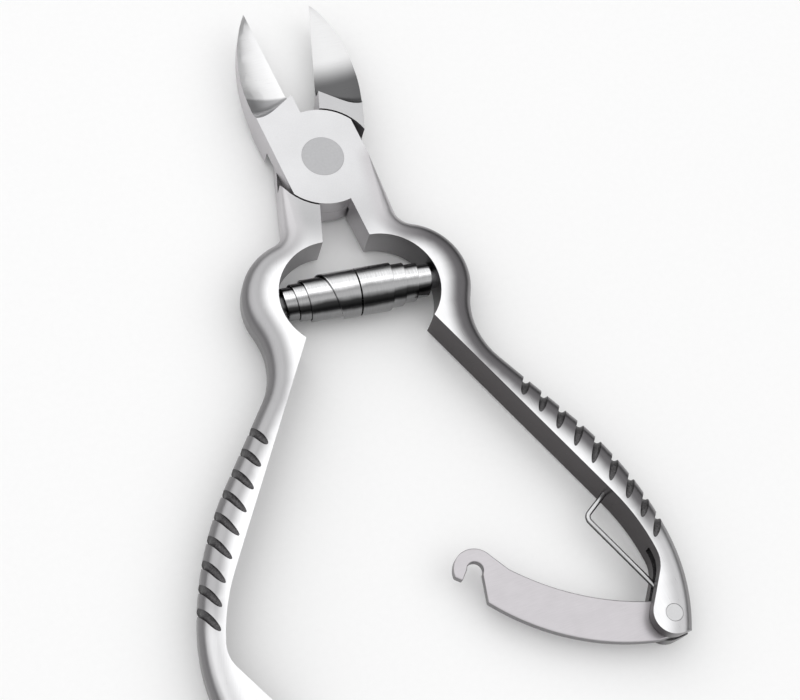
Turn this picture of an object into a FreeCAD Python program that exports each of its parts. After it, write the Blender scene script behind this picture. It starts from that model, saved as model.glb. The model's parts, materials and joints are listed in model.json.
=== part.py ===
import FreeCAD, Part
import math
import os
import Sketcher
from FreeCAD import Vector, Placement, Rotation

# Plier-type nail nipper: two crossed levers on a lap joint, a barrel spring between
# the handles, and a hook latch that ties the handle ends together.
# Frame: X across the tool, +Y towards the jaws, +Z up through the thickness.
# The origin is where the pivot axis meets the face that the tool lies on.
# Both levers are drawn closed, with the cutting edge on the Y axis, and are then
# turned about the pivot to the open position in which the spring holds them.

SIZES = (
    ("thickness", 7.4, "thickness of the joint, jaws and handles"),
    ("open_half_angle", 10.64, "turn of each lever from closed to open, degrees"),
    ("lap_gap", 0.04, "running gap between the two half plates"),
    ("boss_radius", 9.9, "rounded top and bottom of the half plate"),
    ("boss_half_width", 8.35, "pivot axis to the flat side of the half plate"),
    ("relief_gap", 0.35, "gap round the other lever's half plate"),
    ("rivet_shank_radius", 3.0, "pivot rivet, between its heads"),
    ("rivet_head_radius", 4.0, "pivot rivet, at the faces"),
    ("rivet_head_depth", 1.1, "depth of each countersunk head"),
    ("seat_fit", 0.015, "radial gap of a piece that is fixed in its hole"),
    ("pivot_fit", 0.05, "radial gap of a hole that turns on its pin"),
    ("jaw_reach", 35.2, "pivot axis to the tip of the jaws"),
    ("jaw_shoulder", 12.5, "where the straight side of the jaw ends"),
    ("edge_gap", 0.05, "half the gap between the closed cutting edges"),
    ("grind_start", 14.0, "where the hollow grinding starts, at the edge"),
    ("grind_slant", 23.0, "slant of the start of the grinding, degrees"),
    ("grind_rim", 6.9, "height of the ground face at the jaw's outer side"),
    ("grind_tip_rim", 5.5, "the same height at the tip"),
    ("grind_hollow", 0.6, "depth of the hollow in the ground face"),
    ("grind_runout", 2.4, "radius of the run-out of the grinding"),
    ("root_inner", 1.2, "inner side of the handle root"),
    ("neck_top", -3.0, "where the neck's outer edges start to be rounded, along"),
    ("neck_top_round", 0.2, "rounding of the outer edges at that place"),
    ("pocket_x", -0.6, "centre of the spring pocket, across"),
    ("pocket_y", -28.2, "centre of the spring pocket, along"),
    ("pocket_radius", 10.5, "radius of the spring pocket"),
    ("pocket_lip", 5.4, "inner corner under the spring pocket, across"),
    ("bulge_x", 4.5, "centre of the round back of the pocket, across"),
    ("bulge_y", -28.3, "centre of the round back of the pocket, along"),
    ("bulge_radius", 11.9, "radius of the round back of the pocket"),
    ("waist_radius", 3.5, "hollow between the joint and the pocket"),
    ("neck_radius", 14.0, "hollow between the pocket and the grip"),
    ("taper_start", -64.0, "where the grip's outer side starts to curve in"),
    ("grip_radius", 61.5, "curve of the grip's outer side"),
    ("grip_x", 26.8, "widest point of the grip, across"),
    ("grip_y", -90.0, "widest point of the grip, along"),
    ("tail_radius", 34.8, "curve of the outer side below the widest point"),
    ("palm_radius", 38.5, "curve of the grip's inner side"),
    ("palm_x", 22.4, "deepest point of the inner side, across"),
    ("palm_y", -92.3, "deepest point of the inner side, along"),
    ("heel_radius", 6.0, "hollow where the end turns inwards"),
    ("knuckle_x", 19.8, "latch pin on the closed front lever, across"),
    ("knuckle_y", -103.7, "latch pin on the closed front lever, along"),
    ("knuckle_radius", 3.8, "rounded end of the front handle"),
    ("catch_x", 15.25, "catch pin on the closed rear lever, across"),
    ("catch_y", -107.0, "catch pin on the closed rear lever, along"),
    ("catch_end_radius", 3.4, "rounded end of the rear handle"),
    ("grip_round", 2.7, "rounding of the grip's outer edges"),
    ("groove_count", 9, "grip grooves on each handle"),
    ("groove_pitch", 4.15, "step of the grooves along the handle"),
    ("groove_first", -57.9, "first groove at the inner side, along"),
    ("groove_turn", 48.0, "direction of the grooves, degrees from X"),
    ("groove_margin", 1.3, "plain strip between the inner side and a groove's end"),
    ("groove_radius", 0.75, "radius of the groove's round bottom"),
    ("groove_depth", 0.5, "depth of the grooves"),
    ("spring_axis_y", -26.6, "axis of the barrel spring, along"),
    ("spring_radius", 4.35, "middle of the strip, half a turn into the widest one"),
    ("strip_width", 6.8, "width of the spring strip"),
    ("strip_thickness", 0.36, "thickness of the spring strip"),
    ("turn_count", 4, "turns of each half of the spring"),
    ("turn_shrink", 0.46, "radial step of each turn"),
    ("spring_seat_gap", 0.25, "gap between the spring's end and the pocket"),
    ("spring_seam", 0.12, "half the gap between the two widest turns"),
    ("stud_radius", 1.8, "stud that centres the spring"),
    ("stud_reach", 3.4, "stud from the pocket wall into the spring"),
    ("stud_root", 2.4, "stud in the wall"),
    ("latch_length", 35.4, "latch pin to the catch seat of the hook"),
    ("latch_thickness", 1.8, "thickness of the latch plate"),
    ("latch_side_gap", 0.15, "gap on each side of the latch in its slot"),
    ("latch_rest_turn", 26.26, "turn of the latch from square across, degrees"),
    ("latch_pin_radius", 1.6, "latch pin"),
    ("latch_heel_radius", 3.4, "round heel of the latch plate"),
    ("latch_top_bow", 50.0, "hollow of the latch's upper side"),
    ("latch_low_bow", 45.0, "bow of the latch's lower side"),
    ("hook_radius", 3.9, "outer side of the hook"),
    ("catch_slot_radius", 1.5, "round seat in the hook"),
    ("catch_pin_radius", 1.0, "catch pin"),
    ("slot_start", -91.0, "upper end of the latch slot, along"),
    ("slot_floor", 23.5, "floor of the latch slot, across"),
    ("slot_through", -99.6, "where the latch slot goes right through, along"),
    ("catch_slot_start", -94.5, "upper end of the catch slot, along"),
    ("catch_slot_floor", 19.5, "floor of the catch slot, across"),
    ("catch_slot_through", -104.4, "where the catch slot goes through, along"),
    ("wire_hole_x", 21.6, "inner end of the latch spring, across"),
    ("wire_hole_y", -77.9, "inner end of the latch spring, along"),
    ("wire_knee_x", 14.7, "corner of the latch spring, across"),
    ("wire_knee_y", -81.4, "corner of the latch spring, along"),
    ("wire_tip_x", 20.9, "free end of the latch spring, across"),
    ("wire_tip_y", -99.2, "free end of the latch spring, along"),
    ("wire_radius", 0.5, "latch spring wire"),
    ("wire_bend", 1.3, "bend of the latch spring wire"),
)

# overlap of construction shapes past the faces that they cut
PAST = 2.0
FLAT_TURN = 90.0
# arc over which the two halves of the spring strip are one
SPRING_JOIN = 50.0
HALF_TURN = 180.0
# corners of the latch: turn in degrees on the round parts, and elsewhere shares of
# the latch's length and of the hook's radius
LATCH_TURNS = {
    "heel_top": 135.0, "head_top": 57.0, "tip_out": 214.0,
    "seat_left": 195.0, "seat_right": -15.0, "heel_low": -60.0,
}
LATCH_SHARES = {
    "arm_top": (0.835, 0.4), "tip_in": (1.052, -0.62),
    "arm_low": (0.907, -1.34), "heel_out": (0.034, -1.18),
}
# spans of the ground face between its drawn sections
GRIND_STEPS = 4
WAIST_FORMULA = ("sizes.bulge_y + sqrt((sizes.bulge_radius + sizes.waist_radius) ^ 2"
                 " - (sizes.boss_half_width + sizes.waist_radius - sizes.bulge_x) ^ 2)")
# how closely the width of the grip is found, and how close two places count as one
SPAN_ERROR = 0.001
SAME_PLACE = 0.01
# share of the blank that is left when the lap recess has been cut
MOST_LEFT = 0.9

os.makedirs("parts", exist_ok=True)
doc = FreeCAD.newDocument("nail_nipper")
sheet = doc.addObject("Spreadsheet::Sheet", "sizes")
for row, (word, number, note) in enumerate(SIZES, start=1):
    sheet.set("A%d" % row, word)
    sheet.set("B%d" % row, str(number))
    sheet.set("C%d" % row, note)
    sheet.setAlias("B%d" % row, word)
doc.recompute()


def size(word):
    return float(sheet.get(word))


def bind(item, **sizes):
    for prop, formula in sizes.items():
        item.setExpression(prop, formula)


def cell(word):
    return "sizes." + word


def polar(radius, degrees):
    turn = math.radians(degrees)
    return Vector(radius * math.cos(turn), radius * math.sin(turn), 0)


def direction(start, end):
    return math.degrees(math.atan2(end.y - start.y, end.x - start.x))


class Outline:
    """A closed sketch whose corners, arcs and radii are held by the sheet."""

    def __init__(self, body, name, role="XY_Plane"):
        self.sketch = body.newObject("Sketcher::SketchObject", name)
        plane = [f for f in body.Origin.OriginFeatures if f.Role == role][0]
        self.sketch.AttachmentSupport = [(plane, "")]
        self.sketch.MapMode = "FlatFace"

    def line(self, start, end):
        return self.sketch.addGeometry(Part.LineSegment(start, end), False)

    def arc(self, centre, radius, first, last):
        circle = Part.Circle(centre, Vector(0, 0, 1), radius)
        bow = Part.ArcOfCircle(circle, math.radians(first), math.radians(last))
        return self.sketch.addGeometry(bow, False)

    def circle(self, centre, radius):
        ring = Part.Circle(centre, Vector(0, 0, 1), radius)
        return self.sketch.addGeometry(ring, False)

    def hold(self, formula, kind, *where):
        spot = self.sketch.addConstraint(Sketcher.Constraint(kind, *where))
        if formula:
            self.sketch.setExpression("Constraints[%d]" % spot, formula)

    def meet(self, one, one_end, other, other_end, smooth=False):
        kind = "Tangent" if smooth else "Coincident"
        self.hold(None, kind, one, one_end, other, other_end)

    def place(self, item, end, point, across=None, along=None):
        if across:
            self.hold(across, "DistanceX", -1, 1, item, end, point.x)
        if along:
            self.hold(along, "DistanceY", -1, 1, item, end, point.y)

    def bend(self, item, radius, formula):
        self.hold(formula, "Radius", item, radius)


def handle_outline(body, end_x, end_y, end_radius):
    """Handle with its root, spring pocket, grip and inturned end."""
    out = Outline(body, body.Name + "_handle")
    pocket = Vector(size("pocket_x"), size("pocket_y"), 0)
    bulge = Vector(size("bulge_x"), size("bulge_y"), 0)
    palm = Vector(size("palm_x"), size("palm_y"), 0)
    grip = Vector(size("grip_x"), size("grip_y"), 0)
    end = Vector(size(end_x), size(end_y), 0)
    side = size("boss_half_width")
    root = size("root_inner")
    pocket_r = size("pocket_radius")
    bulge_r = size("bulge_radius")
    waist_r = size("waist_radius")
    neck_r = size("neck_radius")
    grip_r = size("grip_radius")
    end_r = size(end_radius)

    rise = math.sqrt(pocket_r ** 2 - (root - pocket.x) ** 2)
    pocket_top = Vector(root, pocket.y + rise, 0)
    lip_x = size("pocket_lip")
    drop = math.sqrt(pocket_r ** 2 - (lip_x - pocket.x) ** 2)
    pocket_lip = Vector(lip_x, pocket.y - drop, 0)

    palm_c = palm - Vector(size("palm_radius"), 0, 0)
    lean = math.degrees(math.asin(size("palm_radius") / (pocket_lip - palm_c).Length))
    palm_turn = direction(palm_c, pocket_lip) - (FLAT_TURN - lean)
    palm_end = palm_c + polar(size("palm_radius"), palm_turn)
    heel_c = palm - Vector(size("heel_radius"), 0, 0)
    reach = (end - heel_c).Length
    swing = math.degrees(math.asin((size("heel_radius") + end_r) / reach))
    heel_turn = direction(heel_c, end) + FLAT_TURN - swing
    heel_end = heel_c + polar(size("heel_radius"), heel_turn)
    end_start = end - polar(end_r, heel_turn)
    end_foot = end - Vector(0, end_r, 0)

    tail_c = grip - Vector(size("tail_radius"), 0, 0)
    tail_turn = math.degrees(math.asin((end_foot.y - grip.y) / size("tail_radius")))
    tail_end = tail_c + polar(size("tail_radius"), tail_turn)
    grip_c = grip - Vector(grip_r, 0, 0)
    grip_turn = math.degrees(math.asin((size("taper_start") - grip.y) / grip_r))
    grip_top = grip_c + polar(grip_r, grip_turn)
    normal = polar(1, grip_turn)
    along = polar(1, grip_turn - FLAT_TURN)
    offset = normal.dot(grip_top - bulge) + neck_r
    slide = math.sqrt((bulge_r + neck_r) ** 2 - offset ** 2)
    neck_c = bulge + normal * offset + along * slide
    neck_end = neck_c - normal * neck_r
    waist_c = Vector(side + waist_r, waist_place(), 0)
    waist_top = waist_c - Vector(waist_r, 0, 0)
    root_top = Vector(root, waist_top.y, 0)
    neck_turn = direction(bulge, neck_c)
    waist_turn = direction(bulge, waist_c)

    root_side = out.line(root_top, pocket_top)
    pocket_arc = out.arc(pocket, pocket_r, direction(pocket, pocket_lip),
                         direction(pocket, pocket_top))
    inner = out.line(pocket_lip, palm_end)
    palm_arc = out.arc(palm_c, size("palm_radius"), 0, palm_turn)
    heel_arc = out.arc(heel_c, size("heel_radius"), heel_turn, 0)
    heel_line = out.line(heel_end, end_start)
    end_arc = out.arc(end, end_r, direction(end, end_start), 3 * FLAT_TURN)
    foot = out.line(end_foot, tail_end)
    tail_arc = out.arc(tail_c, size("tail_radius"), tail_turn, 0)
    grip_arc = out.arc(grip_c, grip_r, 0, grip_turn)
    outer = out.line(neck_end, grip_top)
    neck_arc = out.arc(neck_c, neck_r, neck_turn + HALF_TURN,
                       HALF_TURN + grip_turn)
    bulge_arc = out.arc(bulge, bulge_r, neck_turn, waist_turn)
    waist_arc = out.arc(waist_c, waist_r, HALF_TURN, HALF_TURN + waist_turn)
    cap = out.line(waist_top, root_top)

    out.meet(root_side, 2, pocket_arc, 2)
    out.meet(pocket_arc, 1, inner, 1)
    out.meet(inner, 2, palm_arc, 2, smooth=True)
    out.meet(palm_arc, 1, heel_arc, 2, smooth=True)
    out.meet(heel_arc, 1, heel_line, 1, smooth=True)
    out.meet(heel_line, 2, end_arc, 1, smooth=True)
    out.meet(end_arc, 2, foot, 1, smooth=True)
    out.meet(foot, 2, tail_arc, 1)
    out.meet(tail_arc, 2, grip_arc, 1, smooth=True)
    out.meet(grip_arc, 2, outer, 2, smooth=True)
    out.meet(outer, 1, neck_arc, 2, smooth=True)
    out.meet(neck_arc, 1, bulge_arc, 1, smooth=True)
    out.meet(bulge_arc, 2, waist_arc, 2, smooth=True)
    out.meet(waist_arc, 1, cap, 1)
    out.meet(cap, 2, root_side, 1)
    out.hold(None, "Horizontal", cap)
    out.hold(None, "Horizontal", waist_arc, 1, waist_arc, 3)
    out.hold(None, "Vertical", root_side)
    out.hold(None, "Horizontal", foot)
    out.bend(pocket_arc, pocket_r, cell("pocket_radius"))
    out.bend(palm_arc, size("palm_radius"), cell("palm_radius"))
    out.bend(heel_arc, size("heel_radius"), cell("heel_radius"))
    out.bend(end_arc, end_r, cell(end_radius))
    out.bend(tail_arc, size("tail_radius"), cell("tail_radius"))
    out.bend(grip_arc, grip_r, cell("grip_radius"))
    out.bend(neck_arc, neck_r, cell("neck_radius"))
    out.bend(bulge_arc, bulge_r, cell("bulge_radius"))
    out.bend(waist_arc, waist_r, cell("waist_radius"))
    out.place(root_side, 1, root_top, cell("root_inner"))
    out.place(waist_arc, 1, waist_top, cell("boss_half_width"))
    out.place(pocket_arc, 3, pocket, cell("pocket_x"), cell("pocket_y"))
    out.place(inner, 1, pocket_lip, cell("pocket_lip"))
    out.place(bulge_arc, 3, bulge, cell("bulge_x"), cell("bulge_y"))
    out.place(end_arc, 3, end, cell(end_x), cell(end_y))
    out.place(palm_arc, 1, palm, cell("palm_x"), cell("palm_y"))
    out.place(palm_arc, 3, palm_c, None, cell("palm_y"))
    out.place(grip_arc, 1, grip, cell("grip_x"), cell("grip_y"))
    out.place(grip_arc, 3, grip_c, None, cell("grip_y"))
    out.place(grip_arc, 2, grip_top, None, cell("taper_start"))
    return out.sketch


def waist_place():
    """Where the neck's straight outer side meets the hollow of the waist, along."""
    across = size("boss_half_width") + size("waist_radius") - size("bulge_x")
    reach = size("bulge_radius") + size("waist_radius")
    return size("bulge_y") + math.sqrt(reach ** 2 - across ** 2)


def boss_outline(body):
    """Half plate and neck: a disc with flat sides, one of them running down the neck."""
    out = Outline(body, body.Name + "_boss")
    radius = size("boss_radius")
    side = size("boss_half_width")
    root = size("root_inner")
    turn = math.degrees(math.acos(side / radius))
    root_turn = -math.degrees(math.acos(root / radius))
    waist = waist_place()
    origin = Vector(0, 0, 0)
    top = out.arc(origin, radius, turn, HALF_TURN - turn)
    left = out.line(polar(radius, HALF_TURN - turn), polar(radius, HALF_TURN + turn))
    low = out.arc(origin, radius, HALF_TURN + turn, 2 * HALF_TURN + root_turn)
    inner = out.line(polar(radius, root_turn), Vector(root, waist, 0))
    foot = out.line(Vector(root, waist, 0), Vector(side, waist, 0))
    right = out.line(Vector(side, waist, 0), polar(radius, turn))
    out.meet(top, 2, left, 1)
    out.meet(left, 2, low, 1)
    out.meet(low, 2, inner, 1)
    out.meet(inner, 2, foot, 1)
    out.meet(foot, 2, right, 1)
    out.meet(right, 2, top, 1)
    out.hold(None, "Coincident", top, 3, -1, 1)
    out.hold(None, "Coincident", low, 3, -1, 1)
    out.hold(None, "Vertical", left)
    out.hold(None, "Vertical", inner)
    out.hold(None, "Horizontal", foot)
    out.hold(None, "Vertical", right)
    out.bend(top, radius, cell("boss_radius"))
    out.bend(low, radius, cell("boss_radius"))
    out.place(left, 1, Vector(-side, 0, 0), "-sizes.boss_half_width")
    out.place(right, 1, Vector(side, waist, 0), cell("boss_half_width"), WAIST_FORMULA)
    out.place(inner, 2, Vector(root, waist, 0), cell("root_inner"))
    return out.sketch


def corner_section(along, radius):
    """What a rounding of this radius takes off the neck's front outer edge."""
    side = size("boss_half_width")
    top = size("thickness")
    centre = Vector(side - radius, along, top - radius)
    crown = centre + Vector(0, 0, radius)
    flank = centre + Vector(radius, 0, 0)
    knee = centre + Vector(1, 0, 1).normalize() * radius
    beyond = Vector(side + PAST, along, top + PAST)
    path = (
        Part.Arc(crown, knee, flank),
        Part.LineSegment(flank, Vector(beyond.x, along, flank.z)),
        Part.LineSegment(Vector(beyond.x, along, flank.z), beyond),
        Part.LineSegment(beyond, Vector(crown.x, along, beyond.z)),
        Part.LineSegment(Vector(crown.x, along, beyond.z), crown),
    )
    return Part.Wire([curve.toShape() for curve in path])


def neck_rounding():
    """Rounding that grows down the neck until it is as large as the grip's."""
    sections = (
        corner_section(size("neck_top"), size("neck_top_round")),
        corner_section(waist_place(), size("grip_round")),
    )
    front = Part.makeLoft(list(sections), True, True)
    back = front.mirror(Vector(0, 0, size("thickness") / 2), Vector(0, 0, 1))
    return front.fuse(back)


def jaw_outline(body):
    """Jaw: straight cutting side, curved outer side, pointed tip."""
    out = Outline(body, body.Name + "_jaw")
    side = size("boss_half_width")
    gap = size("edge_gap")
    tip = Vector(-gap, size("jaw_reach"), 0)
    shoulder = Vector(-side, size("jaw_shoulder"), 0)
    across = side - gap
    rise = size("jaw_reach") - size("jaw_shoulder")
    radius = (across ** 2 + rise ** 2) / (2 * across)
    centre = shoulder + Vector(radius, 0, 0)
    low = Vector(-side, 0, 0)
    back = Vector(-gap, 0, 0)
    outer = out.arc(centre, radius, direction(centre, tip), HALF_TURN)
    side_line = out.line(shoulder, low)
    base = out.line(low, back)
    edge = out.line(back, tip)
    out.meet(outer, 2, side_line, 1, smooth=True)
    out.meet(side_line, 2, base, 1)
    out.meet(base, 2, edge, 1)
    out.meet(edge, 2, outer, 1)
    out.hold(None, "Vertical", side_line)
    out.hold(None, "Vertical", edge)
    out.place(side_line, 1, shoulder, "-sizes.boss_half_width", cell("jaw_shoulder"))
    out.place(edge, 2, tip, "-sizes.edge_gap", cell("jaw_reach"))
    out.place(base, 1, low, None, "0 mm")
    out.place(base, 2, back, None, "0 mm")
    return out.sketch


def rivet_outline(body, gap):
    """Half section of the rivet, or of its hole when gap names a clearance."""
    out = Outline(body, body.Name + "_rivet", "XZ_Plane")
    extra = size(gap) if gap else 0.0
    add = " + sizes." + gap if gap else ""
    shank = size("rivet_shank_radius") + extra
    head = size("rivet_head_radius") + extra
    depth = size("rivet_head_depth")
    top = size("thickness")
    points = (
        (Vector(0, 0, 0), None, None),
        (Vector(head, 0, 0), "sizes.rivet_head_radius" + add, None),
        (Vector(shank, depth, 0), "sizes.rivet_shank_radius" + add, "sizes.rivet_head_depth"),
        (Vector(shank, top - depth, 0), "sizes.rivet_shank_radius" + add,
         "sizes.thickness - sizes.rivet_head_depth"),
        (Vector(head, top, 0), "sizes.rivet_head_radius" + add, "sizes.thickness"),
        (Vector(0, top, 0), None, "sizes.thickness"),
    )
    lines = []
    for index, (point, _, _) in enumerate(points):
        lines.append(out.line(point, points[(index + 1) % len(points)][0]))
    for index, item in enumerate(lines):
        out.meet(item, 2, lines[(index + 1) % len(lines)], 1)
    out.hold(None, "Coincident", lines[0], 1, -1, 1)
    out.hold(None, "Horizontal", lines[0])
    out.hold(None, "Vertical", lines[5])
    for item, (point, across, along) in zip(lines[1:], points[1:]):
        out.place(item, 1, point, across, along)
    return out.sketch


def pad(body, sketch, formula, name):
    item = body.newObject("PartDesign::Pad", name)
    item.Profile = sketch
    item.setExpression("Length", formula)
    return item


def outer_edges(shape):
    """Edges of the front and back faces along the handle's outer side."""
    names = []
    top = size("thickness")
    bulge = Vector(size("bulge_x"), size("bulge_y"), 0)
    for number, edge in enumerate(shape.Edges, start=1):
        box = edge.BoundBox
        flat = box.ZLength < SAME_PLACE and min(abs(box.ZMin), abs(box.ZMin - top)) < SAME_PLACE
        if not flat or not hasattr(edge.Curve, "Radius"):
            continue
        centre = Vector(edge.Curve.Center.x, edge.Curve.Center.y, 0)
        if (centre - bulge).Length < SAME_PLACE:
            names.append("Edge%d" % number)
    return names


def lever_blank(name, end_x, end_y, end_radius, gap):
    """Forged lever: handle, half plate, jaw, lap recess and rivet hole."""
    body = doc.addObject("PartDesign::Body", name + "_blank")
    pad(body, handle_outline(body, end_x, end_y, end_radius), cell("thickness"), name + "_grip")
    doc.recompute()
    grip = body.Tip
    rounding = body.newObject("PartDesign::Fillet", name + "_rounding")
    rounding.Base = (grip, outer_edges(grip.Shape))
    rounding.setExpression("Radius", cell("grip_round"))
    doc.recompute()
    pad(body, boss_outline(body), cell("thickness"), name + "_plate")
    pad(body, jaw_outline(body), cell("thickness"), name + "_jaw")
    doc.recompute()
    before = body.Shape.Volume
    lap = Outline(body, body.Name + "_lap")
    ring = lap.circle(Vector(0, 0, 0), size("boss_radius") + size("relief_gap"))
    lap.hold(None, "Coincident", ring, 3, -1, 1)
    lap.bend(ring, size("boss_radius") + size("relief_gap"),
             "sizes.boss_radius + sizes.relief_gap")
    recess = body.newObject("PartDesign::Pocket", name + "_recess")
    recess.Profile = lap.sketch
    recess.Reversed = True
    recess.setExpression("Length", "(sizes.thickness + sizes.lap_gap) / 2")
    hole = body.newObject("PartDesign::Groove", name + "_hole")
    hole.Profile = rivet_outline(body, gap)
    hole.ReferenceAxis = (hole.Profile[0], ["V_Axis"])
    doc.recompute()
    if body.Shape.Volume > MOST_LEFT * before:
        raise RuntimeError(name + ": the lap recess cuts nothing")
    return body


def solid(name, shape, placement=None):
    item = doc.addObject("Part::Feature", name)
    item.Shape = shape
    if placement:
        item.Placement = placement
    return item


def cut(base, tool, name):
    item = doc.addObject("Part::Cut", name)
    item.Base = base
    item.Tool = tool
    return item


def cut_all(base, name, tools):
    """Cut the tools out of the base, one after the other."""
    for number, tool in enumerate(tools, start=1):
        base = cut(base, tool, "%s_cut_%d" % (name, number))
    return base


def jaw_width(along):
    """Outer side of the jaw, measured from the closed cutting edge."""
    across = size("boss_half_width") - size("edge_gap")
    rise = size("jaw_reach") - size("jaw_shoulder")
    radius = (across ** 2 + rise ** 2) / (2 * across)
    step = along - size("jaw_shoulder")
    return size("boss_half_width") - radius + math.sqrt(radius ** 2 - step ** 2)


def grind_section(along, width, rim, slant):
    """One section of the hollow grinding, from the edge up to the outer side."""
    low = size("thickness") / 2
    top = 2 * size("thickness")
    edge = Vector(0, 0, low)
    ridge = Vector(-width, 0, rim)
    past = Vector(PAST, 0, low)
    chord = ridge - edge
    hollow = size("grind_hollow") * chord.Length / size("boss_half_width")
    dip = edge + chord * 0.5 + Vector(-chord.z, 0, chord.x).normalize() * hollow
    path = (
        Part.LineSegment(Vector(PAST, 0, top), past),
        Part.LineSegment(past, edge),
        Part.Arc(edge, dip, ridge),
        Part.LineSegment(ridge, Vector(-width, 0, top)),
        Part.LineSegment(Vector(-width, 0, top), Vector(PAST, 0, top)),
    )
    wire = Part.Wire([curve.toShape() for curve in path])
    wire.Placement = Placement(Vector(0, along, 0), Rotation(Vector(0, 0, 1), slant))
    return wire


def grinding():
    """Hollow-ground face of a jaw, with a rounded run-out towards the joint."""
    start = size("grind_start")
    reach = size("jaw_reach")
    rim = size("grind_rim")
    fall = rim - size("grind_tip_rim")
    cover = 3 * size("relief_gap")
    sections = [grind_section(start, size("boss_half_width") + cover, rim, size("grind_slant"))]
    for step in range(1, GRIND_STEPS):
        share = step / GRIND_STEPS
        along = start + (reach - start) * share
        sections.append(grind_section(along, jaw_width(along) + cover, rim - fall * share, 0))
    sections.append(grind_section(reach + cover / 3, cover, rim - fall, 0))
    tool = Part.makeLoft(sections, True, True)
    edges = []
    for edge in tool.Edges:
        ends = [edge.valueAt(edge.FirstParameter), edge.valueAt(edge.LastParameter)]
        near = all(point.y < start + PAST for point in ends)
        sunk = all(point.z < size("thickness") for point in ends)
        if near and sunk and edge.Length > PAST / 2:
            edges.append(edge)
    return tool.makeFillet(size("grind_runout"), edges)


def inner_side(along):
    """Inner side of the grip at a place along the handle."""
    palm_r = size("palm_radius")
    palm_c = size("palm_x") - palm_r
    lip_y = size("pocket_y") - math.sqrt(
        size("pocket_radius") ** 2 - (size("pocket_lip") - size("pocket_x")) ** 2)
    lip = Vector(size("pocket_lip"), lip_y, 0)
    centre = Vector(palm_c, size("palm_y"), 0)
    lean = math.degrees(math.asin(palm_r / (lip - centre).Length))
    turn = direction(centre, lip) - (FLAT_TURN - lean)
    foot = centre + polar(palm_r, turn)
    if along > foot.y:
        return lip.x + (foot.x - lip.x) * (along - lip.y) / (foot.y - lip.y)
    return palm_c + math.sqrt(palm_r ** 2 - (along - size("palm_y")) ** 2)


def outer_side(along):
    """Outer side of the grip at a place along the handle."""
    radius = size("grip_radius")
    centre = size("grip_x") - radius
    start = size("taper_start") - size("grip_y")
    if along < size("taper_start"):
        return centre + math.sqrt(radius ** 2 - (along - size("grip_y")) ** 2)
    edge = math.sqrt(radius ** 2 - start ** 2)
    return centre + edge - (along - size("taper_start")) * start / edge


def groove_tool(along):
    """Round-nosed tool that dips into the front, goes round the side and comes out behind."""
    turn = size("groove_turn")
    half = size("thickness") / 2
    nose = size("groove_radius")
    start = Vector(inner_side(along), along, 0)
    across = grip_span(start, turn)
    bow = half - size("groove_depth") + nose
    centre = Vector(across - half, 0, 0)
    leave = Vector(size("groove_margin"), half + nose, 0)
    reach = (leave - centre).Length
    sweep = direction(centre, leave) - math.degrees(math.acos(bow / reach))
    meet = centre + polar(bow, sweep)
    run = (leave - meet) * 2
    ring = Part.makeTorus(bow, nose, centre, Vector(0, 0, 1), -HALF_TURN, HALF_TURN, 2 * sweep)
    ring.rotate(centre, Vector(0, 0, 1), -sweep)
    ahead = Part.makeCylinder(nose, run.Length, meet, run)
    behind = ahead.mirror(Vector(0, 0, 0), Vector(0, 1, 0))
    tool = ring.fuse([ahead, behind])
    tool.rotate(Vector(0, 0, 0), Vector(1, 0, 0), FLAT_TURN)
    tool.rotate(Vector(0, 0, 0), Vector(0, 0, 1), turn)
    tool.translate(start + Vector(0, 0, half))
    return tool


def grip_span(start, turn):
    """Distance from the inner side to the outer side of the grip, along a groove."""
    heading = polar(1, turn)
    near = 0.0
    far = 4 * size("grip_round")
    while far - near > SPAN_ERROR:
        middle = (near + far) / 2
        spot = start + heading * middle
        if spot.x < outer_side(spot.y):
            near = middle
        else:
            far = middle
    return near


def groove_tools():
    tools = []
    for index in range(int(size("groove_count"))):
        tools.append(groove_tool(size("groove_first") - index * size("groove_pitch")))
    return Part.makeCompound(tools)


def slot_box(name, floor, start):
    """Slot across the handle's end, open to the inner side and downwards."""
    box = doc.addObject("Part::Box", name)
    width = "(sizes.latch_thickness + 2 * sizes.latch_side_gap)"
    bind(box, Height=width, Length=floor, Width="sizes.grip_x * 2")
    box.setExpression("Placement.Base.z", "(sizes.thickness - %s) / 2" % width)
    box.setExpression("Placement.Base.y", "%s - sizes.grip_x * 2" % start)
    return box


def bore(name, radius, place_x, place_y):
    """Hole through the full thickness, a little longer than the lever is thick."""
    hole = doc.addObject("Part::Cylinder", name)
    bind(hole, Radius=radius, Height="sizes.thickness * 2")
    hole.setExpression("Placement.Base.x", place_x)
    hole.setExpression("Placement.Base.y", place_y)
    hole.setExpression("Placement.Base.z", "-sizes.thickness / 2")
    return hole


def wire_path():
    """Latch spring: out of its hole in the grip, round one bend, into the slot."""
    hole = Vector(size("wire_hole_x"), size("wire_hole_y"), 0)
    bend = Vector(size("wire_knee_x"), size("wire_knee_y"), 0)
    tip = Vector(size("wire_tip_x"), size("wire_tip_y"), 0)
    radius = size("wire_bend")
    back = (hole - bend).normalize()
    ahead = (tip - bend).normalize()
    half = math.acos(back.dot(ahead)) / 2
    trim = radius / math.tan(half)
    first = bend + back * trim
    last = bend + ahead * trim
    centre = bend + (back + ahead).normalize() * (radius / math.sin(half))
    knee = centre + (bend - centre).normalize() * radius
    return hole, first, knee, last, tip


def wire_shape(radius):
    hole, first, knee, last, tip = wire_path()
    edges = [
        Part.LineSegment(hole, first).toShape(),
        Part.Arc(first, knee, last).toShape(),
        Part.LineSegment(last, tip).toShape(),
    ]
    spine = Part.Wire(edges)
    ring = Part.Circle(hole, first - hole, radius)
    return spine.makePipeShell([Part.Wire(ring.toShape())], True, False)


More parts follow.
